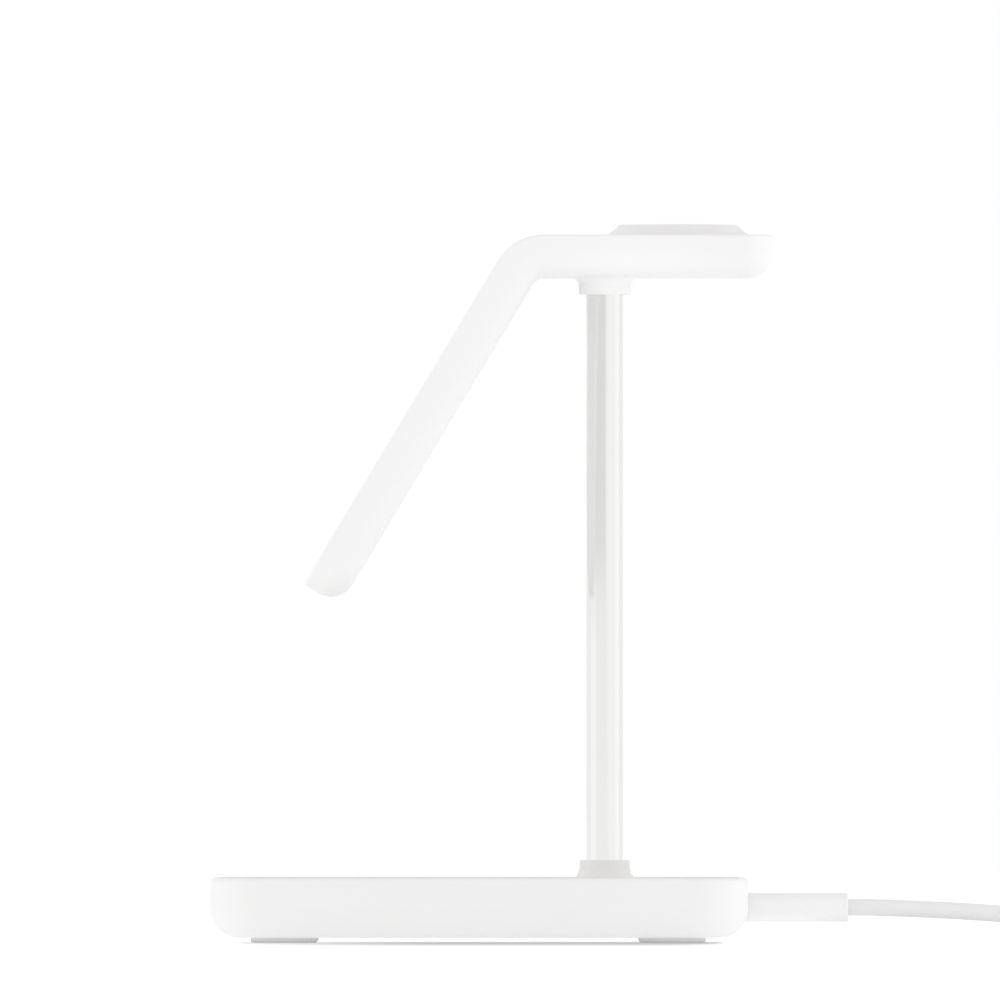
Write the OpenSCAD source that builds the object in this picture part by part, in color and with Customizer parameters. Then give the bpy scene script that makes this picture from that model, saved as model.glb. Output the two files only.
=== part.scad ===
// Three in one wireless charger: a tray base for an earbud case, a tube post,
// and a bent head that holds a phone on its sloping panel and a watch on its arm.
// Millimetres. +Z is up, -X is the phone side, +X the side where the cord leaves.
// The origin is on the table, under the middle of the charger.

/* [Base] */
// Length of the base, front to back
base_l = 129.2; // [126:0.2:134]
// Width of the base
base_w = 90; // [88:1:100]
// Height of the base's rim above the table
rim_z = 15.5; // [15.4:0.1:16.6]
// Gap under the base that the feet leave
foot_gap = 1.2; // [1:0.1:1.4]
// Radius of the base's corners, seen from above
base_corner_r = 13.5; // [12:0.5:16]
// Radius of the base's lower edge
base_edge_r = 7.2; // [6:0.1:8]
// Thickness of the base's wall
base_wall = 2; // [1.8:0.1:2.2]
// Diameter of a rubber foot
foot_d = 16; // [14:0.5:17]

/* [Post] */
// Diameter of the post's tube
post_d = 8.9; // [8.5:0.1:9.1]
// Wall of the tube
post_wall = 0.8; // [0.6:0.1:1]
// Height of the collar's top above the table
collar_z = 19.7; // [19:0.1:22]

/* [Head] */
// Height of the arm's top face above the table
head_z = 170; // [150:0.1:190]
// Width of the head
head_w = 64; // [62:1:70]
// Thickness of the head's plate
head_t = 9.9; // [9.8:0.1:10.6]
// Angle that the head turns down through, from the arm to the phone panel
bend_deg = 59; // [50:1:65]
// Outer radius of the bend
bend_r = 13; // [12.6:0.1:14]
// Length of the arm, from the bend's outer corner point to its rear end
arm_l = 62.4; // [62:0.1:66]
// Length of the phone panel, from the same point to its lower end
panel_l = 97.9; // [96:0.1:106]
// Radius of the head's corners, seen square on
head_corner_r = 9; // [8:0.5:10]
// Radius of the head's back and lower edge
head_edge_r = 5.9; // [5:0.1:6.2]

/* [Pads] */
// Height of the watch puck above the arm
puck_h = 2.7; // [2.5:0.1:3]
// Diameter of the watch puck's top
puck_top_d = 28.4; // [28:0.1:29]
// Diameter of the phone pad
phone_pad_d = 56; // [55:0.5:57]
// Length of the earbud pad, front to back
earbud_pad_l = 70; // [60:1:72]
// Width of the earbud pad
earbud_pad_w = 72; // [60:1:74]

/* [Cord] */
// Diameter of the cord
cord_d = 4; // [3.6:0.1:4]
// Length of the plug's moulded body
plug_l = 25.2; // [20:0.2:26]
// Width of the plug's moulded body
plug_w = 12.3; // [11.5:0.1:12.4]
// Thickness of the plug's moulded body
plug_t = 6.9; // [6.4:0.1:7]

/* [Hidden] */
$fn = 96;

shell_white = "#f4f4f2";
soft_grey = "#dcd9d7";
rubber_grey = "#55585a";
steel = "#c9cbcc";
copper = "#b8763e";
ferrite_black = "#303236";
board_green = "#2f6b4a";

// Places of the base: its front end and the head's rear end are equally far from the origin
half_l = 67.6;
base_x = base_l / 2 - half_l;
floor_z = foot_gap + 2;
deck_z = rim_z - 0.4;
deck_t = 1.8;
rim_r = 1;
deck_gap = 0.15;
skirt_t = 1.2;
skirt_z = 10.8;
inner_corner_r = base_corner_r - base_wall;
foot_recess = 0.8;
foot_dx = [-base_l / 2 + 17.75, base_l / 2 - 18.25];
foot_dy = 28;
boss_z = 6;
boss_d = 9;
screw_d = 2.1;
seat_z = 3.8;
ballast_t = 2;
ballast_rear = 40;
pad_x = -27;
pad_t = 1;
pad_corner_r = 12;
dish_r = 400;
board_top = 6.75;
board_t = 1.6;
board_x = [40.1, 58];
board_w = 43;
board_screw_x = 55.2;
board_screw_y = 18;
small_screw_d = 1.6;

// Places of the post
post_x = 27.2;
post_r = post_d / 2;
post_foot_z = floor_z + ballast_t;
post_top_z = head_z - 7.2;
flange_d = 22;
flange_t = 3;
sleeve_z = 12;
sleeve_d = 12;
flange_screw_r = 8.2;
wires_d = 3.4;
wires_turn_r = 4;
wires_low_z = 10.2;
window_w = 4.4;
window_h = 3.8;
post_gap = 0.05;

// Places of the head: everything turns about the bend's axis
inner_r = bend_r - head_t;
corner_run = bend_r * tan(bend_deg / 2);
arm_run = arm_l - corner_run;
panel_run = panel_l - corner_run;
bend_x = half_l - arm_run;
bend_z = head_z - bend_r;
head_wall = 2;
head_floor = inner_r + 1.8;
cover_t = 1.6;
cover_low = bend_r - cover_t;
lip = 1.2;
cover_gap = 0.1;
boss_low_z = head_z - head_t - 4.2;
head_boss_d = 12.5;
bracket_z = head_z - 6.6;
bracket_t = 1.5;
bracket_screw = [10.5, 9];
panel_pad_x = 36 - panel_run;
backing_t = 0.8;
backing_low = cover_low - 2.8;
head_board_x = [-23, -3];
head_board_low = head_floor + 1.2;
head_board_t = 1.2;
puck_x = 44.9;
puck_base_d = 34.8;
puck_skirt_d = 37.2;
puck_in_r = 15.8;
puck_flare_r = 15.6;

// Places of the plug and its socket
plug_x = 60.6;
plug_z = 8.35;
plug_corner_r = 2.6;
plug_gap = 0.3;
tip_w = 8.3;
tip_t = 2.4;
tip_l = 6.6;
tip_set = 4;
tip_wall = 0.3;
socket_w = 9.04;
socket_t = 3.2;
socket_l = 7.3;
socket_back = 0.5;
socket_wall = 0.3;
tongue = [5.4, 6.7, 0.7];

// Places of the cord
cord_r = cord_d / 2;
coil_x = 166;
coil_y = 32.1;
coil_in_r = 13.85;
coil_out_r = 34.15;
coil_top = 8.1;
tie_x = 13.3;
tie_w = 7;
tie_t = 0.5;
far_plug_x = 207.2;
far_plug_y = 37;
lead_route = [
    [plug_x + plug_l, 0, plug_z], [90, 0, plug_z], [95, 0, 8.22], [100, 0, 8.02], [105, 0, 7.82],
    [110, 0, 7.58], [116, 0, 7.22], [122, 0, 6.82], [128, 0, 6.3], [134, 0, 5.6],
    [140, 0, 4.75], [146, 0, 3.8], [152, 0, 2.9], [158, 0, 2.25], [166, 0, 2.05]
];
tail_route = [
    [171.6, 0.5, 6.1], [175.5, 1.2, 6.1], [179.5, 1.9, 6], [183.4, 2.6, 5.7], [187.2, 3.7, 5.2],
    [190.9, 5.3, 4.5], [194.3, 7.3, 3.8], [197.4, 9.8, 3.1], [200.2, 12.7, 2.6], [202.6, 15.9, 2.3],
    [204.5, 19.4, 2.2], [205.9, 23.1, 2.3], [206.8, 27, 2.6], [207.2, 31, 3], [207.2, 34, 3.45],
    [207.2, 37, 3.45]
];

// What rounding an outside corner of radius r takes away
module spandrel(r) {
    difference() {
        square(r + 1);
        circle(r);
    }
}

// One edge of a plate in section: its outer end is at x = l, between the heights lo and hi
module plate_edge(l, lo, hi, low_r, top_r) {
    difference() {
        translate([0, lo]) square([l, hi - lo]);
        if (low_r > 0) translate([l - low_r, lo + low_r]) mirror([0, 1]) spandrel(low_r);
        if (top_r > 0) translate([l - top_r, hi - top_r]) spandrel(top_r);
    }
}

module plate_section(w, lo, hi, low_r, top_r) {
    plate_edge(w / 2, lo, hi, low_r, top_r);
    mirror([1, 0]) plate_edge(w / 2, lo, hi, low_r, top_r);
}

// The straight end of a plate with its two round corners, from x = 0 to x = corner_r
module plate_end(w, lo, hi, low_r, top_r, corner_r) {
    rotate([90, 0, 0]) linear_extrude(w - 2 * corner_r, center = true)
        plate_edge(corner_r, lo, hi, low_r, top_r);
    for (s = [0, 1]) mirror([0, s, 0]) translate([0, w / 2 - corner_r, 0])
        rotate_extrude(angle = 90) plate_edge(corner_r, lo, hi, low_r, top_r);
}

// A plate that runs from x = 0 to a rounded end at x = l
module plate_leg(l, w, lo, hi, low_r, top_r, corner_r) {
    rotate([90, 0, 90]) linear_extrude(l - corner_r) plate_section(w, lo, hi, low_r, top_r);
    translate([l - corner_r, 0, 0]) plate_end(w, lo, hi, low_r, top_r, corner_r);
}

// A plate with four round corners, centred on the Z axis
module tray(l, w, lo, hi, low_r, top_r, corner_r) {
    rotate([90, 0, 90]) linear_extrude(l - 2 * corner_r, center = true)
        plate_section(w, lo, hi, low_r, top_r);
    for (s = [0, 1]) mirror([s, 0, 0]) translate([l / 2 - corner_r, 0, 0])
        plate_end(w, lo, hi, low_r, top_r, corner_r);
}

// One leg of the bent plate, cut off square at the plane that halves the bend
module half_bent(l, w, lo, hi, low_r, top_r, corner_r) {
    intersection() {
        rotate([0, bend_deg / 2, 0]) {
            plate_leg(l, w, lo, hi, low_r, top_r, corner_r);
            rotate([90, 0, 0]) rotate([0, 0, 90]) rotate_extrude(angle = bend_deg / 2 + 2)
                rotate(-90) plate_section(w, lo, hi, low_r, top_r);
        }
        translate([0, -w, -200]) cube([200, 2 * w, 400]);
    }
}

// The head's bent plate between the radii lo and hi of the bend, drawn in by inset all round
module bent_plate(inset, lo, hi, low_r, top_r) {
    w = head_w - 2 * inset;
    corner_r = head_corner_r - inset;
    rotate([0, -bend_deg / 2, 0]) {
        half_bent(arm_run - inset, w, lo, hi, low_r, top_r, corner_r);
        mirror([1, 0, 0]) half_bent(panel_run - inset, w, lo, hi, low_r, top_r, corner_r);
    }
}

module at_bend() {
    translate([bend_x, 0, bend_z]) children();
}

// The panel's own frame: +Z out of its front face, -X down the panel
module on_panel() {
    at_bend() rotate([0, -bend_deg, 0]) children();
}

module on_phone_pad() {
    on_panel() translate([panel_pad_x, 0, 0]) children();
}

module at_feet() {
    for (dx = foot_dx, s = [-1, 1]) translate([base_x + dx, s * foot_dy, 0]) children();
}

module rounded_rect(x, y, r) {
    square([x - 2 * r, y], center = true);
    square([x, y - 2 * r], center = true);
    for (i = [-1, 1], j = [-1, 1]) translate([i * (x / 2 - r), j * (y / 2 - r)]) circle(r);
}

// A slot with round ends
module slot(x, y) {
    square([x - y, y], center = true);
    for (i = [-1, 1]) translate([i * (x - y) / 2, 0]) circle(d = y);
}

// A bar along +X from x, with its section about the plug's axis
module along_plug(x, l) {
    translate([x, 0, plug_z]) rotate([90, 0, 90]) linear_extrude(l) children();
}

// A flat winding of round wire whose turns are bonded to each other
module winding(first_r, turns, wire_d, rows) {
    step = wire_d * 0.93;
    rotate_extrude()
        for (i = [0:turns - 1], j = [0:rows - 1])
            translate([first_r + wire_d / 2 + i * step, wire_d / 2 + j * step]) circle(d = wire_d);
}

// A pan head screw: the head's underside is at z = 0 and the shank points down
module screw(head_d, head_h, shank_d, shank_l) {
    difference() {
        cylinder(h = head_h, d = head_d);
        for (a = [0, 90]) rotate(a) translate([-head_d * 0.3, -0.25, head_h * 0.45])
            cube([head_d * 0.6, 0.5, head_h]);
    }
    translate([0, 0, -shank_l]) cylinder(h = shank_l + 0.1, d = shank_d);
}

// The base's lower casing: a tub with screw bosses, board stand-offs and the socket's opening
module base_housing() {
    color(shell_white) difference() {
        union() {
            difference() {
                translate([base_x, 0, 0])
                    tray(base_l, base_w, foot_gap, rim_z, base_edge_r, rim_r, base_corner_r);
                translate([base_x, 0, 0])
                    tray(base_l - 2 * base_wall, base_w - 2 * base_wall, floor_z, rim_z + 1,
                        base_edge_r - base_wall, 0, inner_corner_r);
            }
            at_feet() translate([0, 0, floor_z - 0.5]) cylinder(h = boss_z - floor_z + 0.5, d = boss_d);
            for (s = [-1, 1]) translate([board_screw_x, s * board_screw_y, floor_z - 0.5])
                cylinder(h = board_top - board_t - floor_z + 0.5, d = 4.6);
        }
        at_feet() {
            translate([0, 0, foot_gap - 1]) cylinder(h = foot_recess + 1, d = foot_d + 0.2);
            cylinder(h = seat_z, d = 5.2);
            cylinder(h = boss_z + 1, d = 2.7);
        }
        for (s = [-1, 1]) translate([board_screw_x, s * board_screw_y, floor_z - 0.6])
            cylinder(h = 5, d = small_screw_d);
        along_plug(plug_x, 4)
            rounded_rect(plug_w + 2 * plug_gap, plug_t + 2 * plug_gap, plug_corner_r + plug_gap);
        along_plug(base_x + base_l / 2 - base_wall - 3, 6) slot(socket_w + 0.2, socket_t + 0.2);
    }
}

// The tray's top: a panel with a skirt inside the rim, a recess for the pad and four screw posts
module base_deck() {
    l = base_l - 2 * (base_wall + deck_gap);
    w = base_w - 2 * (base_wall + deck_gap);
    corner_r = inner_corner_r - deck_gap;
    color(shell_white) difference() {
        union() {
            translate([base_x, 0, 0]) tray(l, w, deck_z - deck_t, deck_z, 0, 0.3, corner_r);
            difference() {
                translate([base_x, 0, 0]) tray(l, w, skirt_z, deck_z - 1, 0, 0, corner_r);
                translate([base_x, 0, 0]) tray(l - 2 * skirt_t, w - 2 * skirt_t, skirt_z - 1, deck_z, 0, 0,
                    corner_r - skirt_t);
            }
            at_feet() translate([0, 0, boss_z]) cylinder(h = deck_z - boss_z - 1, d = 7);
        }
        translate([pad_x, 0, deck_z - pad_t]) linear_extrude(3)
            rounded_rect(earbud_pad_l + 0.2, earbud_pad_w + 0.2, pad_corner_r + 0.1);
        at_feet() translate([0, 0, boss_z - 1]) cylinder(h = 6.5, d = screw_d);
        translate([post_x, 0, 0]) cylinder(h = 30, d = sleeve_d);
        along_plug(base_x + base_l / 2 - 8, 8) slot(socket_w + 0.6, 6);
    }
}

// The soft inlay that the earbud case stands on, with a shallow dish
module earbud_pad() {
    color(soft_grey) difference() {
        translate([pad_x, 0, deck_z - pad_t]) linear_extrude(pad_t - 0.05)
            rounded_rect(earbud_pad_l, earbud_pad_w, pad_corner_r);
        translate([pad_x, 0, deck_z - 0.5 + dish_r]) sphere(dish_r, $fn = 200);
    }
}

module earbud_coil() {
    color(copper) translate([pad_x, 0, deck_z - deck_t - 1]) winding(9, 12, 1, 1);
}

module earbud_ferrite() {
    color(ferrite_black) translate([pad_x, 0, deck_z - deck_t - 1.8]) linear_extrude(0.8)
        rounded_rect(46, 46, 4);
}

// The steel plate on the tub's floor, which makes the base heavy and carries the post
module ballast_plate() {
    front = base_x - base_l / 2 + base_edge_r + 0.4;
    l = ballast_rear - front;
    color(steel) difference() {
        translate([front + l / 2, 0, floor_z]) linear_extrude(ballast_t)
            rounded_rect(l, base_w - 2 * base_edge_r - 0.8, 6);
        at_feet() cylinder(h = 20, d = boss_d + 1);
        for (a = [60:120:300]) translate([post_x, 0, 0]) rotate(a) translate([flange_screw_r, 0, 0])
            cylinder(h = 20, d = screw_d);
    }
}

module base_circuit_board() {
    z = board_top - board_t;
    color(board_green) difference() {
        union() {
            translate([board_x[0], -board_w / 2, z]) cube([board_x[1] - board_x[0], board_w, board_t]);
            translate([42, -4, board_top - 0.1]) cube([4, 8, 5.3]);
            translate([47, 7, board_top - 0.1]) cube([5, 5, 1]);
            translate([42, -17, board_top - 0.1]) cube([6, 6, 3]);
            translate([42, 9, board_top - 0.1]) cube([4, 4, 1.2]);
            for (i = [0:4]) translate([50, -18 + 2.4 * i, board_top - 0.1]) cube([1.6, 1, 0.8]);
        }
        for (s = [-1, 1]) translate([board_screw_x, s * board_screw_y, z - 1])
            cylinder(h = 4, d = small_screw_d + 0.2);
    }
}

// The charging socket's drawn steel shell, closed at its back
module power_socket() {
    color(steel) difference() {
        along_plug(plug_x - socket_l, socket_l) slot(socket_w, socket_t);
        along_plug(plug_x - socket_l + socket_back, socket_l)
            slot(socket_w - 2 * socket_wall, socket_t - 2 * socket_wall);
    }
}

module socket_tongue() {
    color(ferrite_black) translate([plug_x - socket_l + socket_back, 0, plug_z])
        translate([0, -tongue[1] / 2, -tongue[2] / 2]) cube(tongue);
}

module rubber_feet() {
    color(rubber_grey) at_feet() rotate_extrude()
        plate_edge(foot_d / 2, 0, foot_gap + foot_recess, 0.5, 0);
}

module base_screws() {
    color(steel) at_feet() translate([0, 0, seat_z]) mirror([0, 0, 1]) screw(4.8, 1.6, screw_d, 7.5);
}

// The small screws that hold the two circuit boards
module board_screws() {
    color(steel) {
        for (s = [-1, 1]) translate([board_screw_x, s * board_screw_y, board_top])
            screw(3.4, 1.2, small_screw_d, 4);
        on_panel() for (s = [-1, 1]) translate([-19, s * 16, head_board_low + head_board_t])
            screw(3.4, 1.2, small_screw_d, 2.6);
    }
}

// The polished tube, with a window near its foot where the wires leave
module post() {
    color(steel) translate([post_x, 0, 0]) difference() {
        translate([0, 0, post_foot_z]) cylinder(h = post_top_z - post_foot_z, r = post_r);
        translate([0, 0, post_foot_z - 1])
            cylinder(h = post_top_z - post_foot_z + 2, r = post_r - post_wall);
        translate([1, -window_w / 2, wires_low_z - window_h / 2]) cube([6, window_w, window_h]);
    }
}

// The flared ring where the post leaves the deck, with a spigot through the deck
module post_collar() {
    flare_r = 2.5;
    lip_t = 0.9;
    color(soft_grey) translate([post_x, 0, 0]) rotate_extrude() difference() {
        union() {
            translate([0, sleeve_z]) square([sleeve_d / 2 - 0.1, deck_z - sleeve_z + 0.5]);
            translate([0, deck_z]) square([sleeve_d / 2 + flare_r, lip_t + flare_r]);
            translate([0, deck_z]) plate_edge(sleeve_d / 2, 0, collar_z - deck_z, 0, 0.3);
        }
        translate([sleeve_d / 2 + flare_r, deck_z + lip_t + flare_r]) circle(flare_r);
        translate([-1, sleeve_z - 1]) square([post_r + post_gap + 1, 20]);
    }
}

// The foot that is brazed to the tube and screwed to the steel plate
module post_flange() {
    color(steel) translate([post_x, 0, post_foot_z]) difference() {
        union() {
            cylinder(h = flange_t, d = flange_d);
            cylinder(h = sleeve_z - post_foot_z, d = sleeve_d);
        }
        translate([0, 0, -1]) cylinder(h = 20, r = post_r);
        for (a = [60:120:300]) rotate(a) translate([flange_screw_r, 0, -1]) cylinder(h = 10, d = screw_d);
        translate([1, -window_w / 2, flange_t]) cube([8, window_w, 10]);
    }
}

module flange_screws() {
    color(steel) translate([post_x, 0, post_foot_z + flange_t]) for (a = [60:120:300])
        rotate(a) translate([flange_screw_r, 0, 0]) screw(3.6, 1.4, screw_d, 4.6);
}

// The wire bundle inside the post: out through its window below, and round the bend above
module post_wires() {
    top_r = 3.4;
    run_r = bend_r - 4.6;
    top_z = bend_z + run_r - top_r;
    low_z = wires_low_z + wires_turn_r;
    color("#3a3c40") {
        translate([post_x, 0, low_z]) cylinder(h = top_z - low_z, d = wires_d);
        translate([post_x + wires_turn_r, 0, low_z]) rotate([90, 0, 0]) rotate([0, 0, 180])
            rotate_extrude(angle = 90) translate([wires_turn_r, 0]) circle(d = wires_d);
        translate([post_x + wires_turn_r, 0, wires_low_z]) rotate([0, 90, 0])
            cylinder(h = 42 - post_x - wires_turn_r, d = wires_d);
        translate([post_x - top_r, 0, top_z]) rotate([90, 0, 0])
            rotate_extrude(angle = 90) translate([top_r, 0]) circle(d = wires_d);
        translate([bend_x, 0, bend_z + run_r]) rotate([0, 90, 0])
            cylinder(h = post_x - top_r - bend_x, d = wires_d);
        at_bend() rotate([90, 0, 0]) rotate([0, 0, 90])
            rotate_extrude(angle = bend_deg) translate([run_r, 0]) circle(d = wires_d);
    }
}

// The head's back casing: a bent tub with a flared boss round the post and bosses inside
module head_shell() {
    boss_fillet = 2.1;
    under_z = head_z - head_t;
    color(shell_white) difference() {
        union() {
            at_bend() difference() {
                bent_plate(0, inner_r, bend_r, head_edge_r, 0.7);
                bent_plate(head_wall, head_floor, cover_low + 0.1, head_edge_r - head_wall, 0);
                bent_plate(lip, cover_low, bend_r + 1, 0, 0);
            }
            translate([post_x, 0, boss_low_z]) cylinder(h = head_t - 3, d = head_boss_d);
            translate([post_x, 0, under_z]) rotate_extrude() difference() {
                translate([0, -boss_fillet]) square([head_boss_d / 2 + boss_fillet, boss_fillet + 0.5]);
                translate([head_boss_d / 2 + boss_fillet, -boss_fillet]) circle(boss_fillet);
            }
            for (i = [-1, 1], j = [-1, 1])
                translate([post_x + i * bracket_screw[0], j * bracket_screw[1], under_z + 1.3])
                    cylinder(h = bracket_z - under_z - 1.3, d = 5);
            on_phone_pad() for (a = [45:90:315]) rotate(a) translate([22, 0, head_floor - 0.5])
                cylinder(h = backing_low - head_floor + 0.5, d = 4);
            on_panel() for (s = [-1, 1]) translate([-19, s * 16, head_floor - 0.5])
                cylinder(h = head_board_low - head_floor + 0.5, d = 4.6);
        }
        translate([post_x, 0, boss_low_z - 1]) cylinder(h = 20, r = post_r + post_gap);
        translate([post_x, 0, under_z + 1.8]) cylinder(h = 20, d = sleeve_d + 0.2);
        for (i = [-1, 1], j = [-1, 1])
            translate([post_x + i * bracket_screw[0], j * bracket_screw[1], under_z + 1])
                cylinder(h = 5, d = small_screw_d);
        on_panel() for (s = [-1, 1]) translate([-19, s * 16, head_floor - 0.6])
            cylinder(h = 3, d = small_screw_d);
    }
}

// The soft-touch front and top: a bent panel let into the shell's lip
module head_cover() {
    color(shell_white) difference() {
        at_bend() bent_plate(lip + cover_gap, cover_low, bend_r, 0, 0.25);
        translate([puck_x, 0, head_z - 5]) cylinder(h = 10, d = puck_base_d + 0.2);
        on_phone_pad() translate([0, 0, bend_r - 1]) cylinder(h = 5, d = phone_pad_d + 0.2);
    }
}

// The plate that is brazed to the tube's upper end and screwed into the head
module head_bracket() {
    color(steel) translate([post_x, 0, 0]) difference() {
        union() {
            translate([0, 0, bracket_z]) linear_extrude(bracket_t) rounded_rect(27, 23, 3);
            translate([0, 0, head_z - head_t + 1.8]) cylinder(h = 1.9, d = sleeve_d);
        }
        translate([0, 0, bend_z]) cylinder(h = 20, r = post_r);
        translate([-30, -window_w / 2, bracket_z - 0.5]) cube([30, window_w, 10]);
        for (i = [-1, 1], j = [-1, 1]) translate([i * bracket_screw[0], j * bracket_screw[1], bend_z])
            cylinder(h = 20, d = small_screw_d + 0.2);
    }
}

module bracket_screws() {
    color(steel) for (i = [-1, 1], j = [-1, 1])
        translate([post_x + i * bracket_screw[0], j * bracket_screw[1], bracket_z + bracket_t])
            screw(3.4, 1.2, small_screw_d, 3.6);
}

module head_circuit_board() {
    l = head_board_x[1] - head_board_x[0];
    top = head_board_low + head_board_t;
    color(board_green) on_panel() difference() {
        union() {
            translate([head_board_x[0], -20, head_board_low]) cube([l, 40, head_board_t]);
            translate([-5.5, -4, top - 0.1]) cube([5.5, 8, 3.6]);
            translate([-17, -6, top - 0.1]) cube([6, 6, 1]);
            translate([-16, 5, top - 0.1]) cube([5, 5, 2.2]);
            for (i = [0:4]) translate([-20 + 3 * i, -12, top - 0.1]) cube([1.6, 1, 0.8]);
        }
        for (s = [-1, 1]) translate([-19, s * 16, head_board_low - 1])
            cylinder(h = 4, d = small_screw_d + 0.2);
    }
}

module phone_pad() {
    color(soft_grey) on_phone_pad() rotate_extrude()
        plate_edge(phone_pad_d / 2, bend_r - 1, bend_r, 0, 0.2);
}

// A ring of arc magnets that centres the phone, open at the bottom for the coil's leads
module phone_magnets() {
    count = 17;
    span = 17;
    color(steel) on_phone_pad() for (i = [0:count - 1])
        rotate(-164 + i * 20.5 + 16) rotate_extrude(angle = span)
            translate([23, cover_low - 2]) square([4.5, 1.95]);
}

module phone_coil() {
    color(copper) on_phone_pad() translate([0, 0, cover_low - 1.2]) winding(10.5, 10, 1.2, 1);
}

module phone_ferrite() {
    color(ferrite_black) on_phone_pad() translate([0, 0, cover_low - 2]) difference() {
        cylinder(h = 0.8, d = 45);
        translate([0, 0, -1]) cylinder(h = 3, d = 5);
    }
}

module phone_backing() {
    color(steel) on_phone_pad() translate([0, 0, backing_low]) difference() {
        cylinder(h = backing_t, d = phone_pad_d);
        translate([0, 0, -1]) cylinder(h = 3, d = 4);
    }
}

// The raised watch puck: a cap with hollow flared sides, a dished top and a flange below the cover
module watch_puck() {
    top_r = puck_top_d / 2;
    dish_depth = 0.9;
    dish_rim = 13.2;
    puck_dish_r = (dish_rim * dish_rim + dish_depth * dish_depth) / (2 * dish_depth);
    flare_at = [top_r + 11.4, head_z + puck_h + 10.6];
    low = cover_low + bend_z - 1.2;
    color(soft_grey) translate([puck_x, 0, 0]) difference() {
        rotate_extrude() difference() {
            union() {
                translate([0, low]) square([puck_skirt_d / 2, 1.2]);
                translate([0, low]) square([puck_base_d / 2, head_z + puck_h - low]);
            }
            translate(flare_at) circle(puck_flare_r);
            translate([-1, low - 1]) square([puck_in_r + 1, 3.4]);
            translate([-1, low - 1]) square([14.2, head_z + 0.7 - low + 1]);
        }
        translate([0, 0, head_z + puck_h - dish_depth + puck_dish_r]) sphere(puck_dish_r, $fn = 200);
    }
}

module watch_coil() {
    color(copper) translate([puck_x, 0, head_z - 0.9]) winding(6.5, 8, 0.8, 2);
}

module watch_magnet() {
    color(steel) translate([puck_x, 0, head_z - 0.9]) cylinder(h = 1.6, d = 11.5);
}

module watch_ferrite() {
    color(ferrite_black) translate([puck_x, 0, head_z - 1.9]) cylinder(h = 1, d = 26);
}

module watch_backing() {
    color(steel) translate([puck_x, 0, cover_low + bend_z - 1.2]) cylinder(h = 0.9, r = puck_in_r);
}

// A plug's moulded body along +X from x = 0, its ends rounded over, with the pocket for its metal tip
module moulded_plug() {
    difference() {
        rotate([0, 90, 0]) tray(plug_t, plug_w, 0, plug_l, 0.3, 0.5, plug_corner_r);
        translate([-1, 0, 0]) rotate([90, 0, 90]) linear_extrude(tip_set + 1) slot(tip_w, tip_t);
    }
}

// The metal tip in front of a plug's body, hollow at its mouth
module metal_tip() {
    difference() {
        translate([-tip_l, 0, 0]) rotate([90, 0, 90]) linear_extrude(tip_l + tip_set) slot(tip_w, tip_t);
        translate([-tip_l - 1, 0, 0]) rotate([90, 0, 90]) linear_extrude(tip_l)
            slot(tip_w - 2 * tip_wall, tip_t - 2 * tip_wall);
    }
}

module plug_body() {
    color(shell_white) translate([plug_x, 0, plug_z]) moulded_plug();
}

module plug_tip() {
    color(steel) translate([plug_x, 0, plug_z]) metal_tip();
}

// The far plug lies on the table beside the coil, its tip pointing away along +Y
module at_far_plug() {
    translate([far_plug_x, far_plug_y + plug_l, plug_t / 2]) rotate([0, 0, -90]) children();
}

module far_plug_body() {
    color(shell_white) at_far_plug() moulded_plug();
}

module far_plug_tip() {
    color(steel) at_far_plug() metal_tip();
}

function unit(v) = v / norm(v);

// The direction of a route at its point i
function heading(route, i) =
    unit(route[min(i + 1, len(route) - 1)] - route[max(i - 1, 0)]);

// A ring of n points of radius r round the route's point i, square to the route
function ring(route, i, r, n) =
    let (t = heading(route, i), side = unit(cross([0, 0, 1], t)), up = cross(t, side))
    [for (k = [0:n - 1]) route[i] + r * (cos(360 * k / n) * side + sin(360 * k / n) * up)];

// A closed tube along a route, with a flat end at both of its ends
module tube(route, r, n) {
    m = len(route);
    polyhedron(
        points = [for (i = [0:m - 1]) each ring(route, i, r, n)],
        faces = concat(
            [[for (k = [0:n - 1]) k]],
            [for (i = [0:m - 2], k = [0:n - 1])
                [i * n + k, (i + 1) * n + k, (i + 1) * n + (k + 1) % n, i * n + (k + 1) % n]],
            [[for (k = [n - 1:-1:0]) (m - 1) * n + k]]
        )
    );
}

module cord_lead() {
    color(shell_white) tube(lead_route, cord_r, 10);
}

module cord_tail() {
    color(shell_white) tube(tail_route, cord_r, 10);
}

// The section of the strap round the turns: out is the strap's outside, or else its inside
module tie_section(out) {
    more = out ? tie_t : 0;
    translate([tie_x - more, tie_t - more])
        square([coil_out_r - tie_x + 2 * more, coil_top - tie_t + 2 * more]);
}

module at_tie() {
    translate([coil_x, coil_y, 0]) rotate([90, 0, 0]) linear_extrude(tie_w, center = true) children();
}

// The put away turns: two layers of five, drawn as one ring that the strap presses into
module cord_coil() {
    color(shell_white) difference() {
        translate([coil_x, coil_y, 0]) rotate_extrude()
            translate([(coil_in_r + coil_out_r) / 2, coil_top / 2])
                rounded_rect(coil_out_r - coil_in_r, coil_top, cord_r);
        at_tie() difference() {
            tie_section(true);
            tie_section(false);
        }
    }
}

// The strap round the coil's turns, on the side away from the charger
module coil_tie() {
    color(soft_grey) at_tie() difference() {
        tie_section(true);
        tie_section(false);
    }
}

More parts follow.
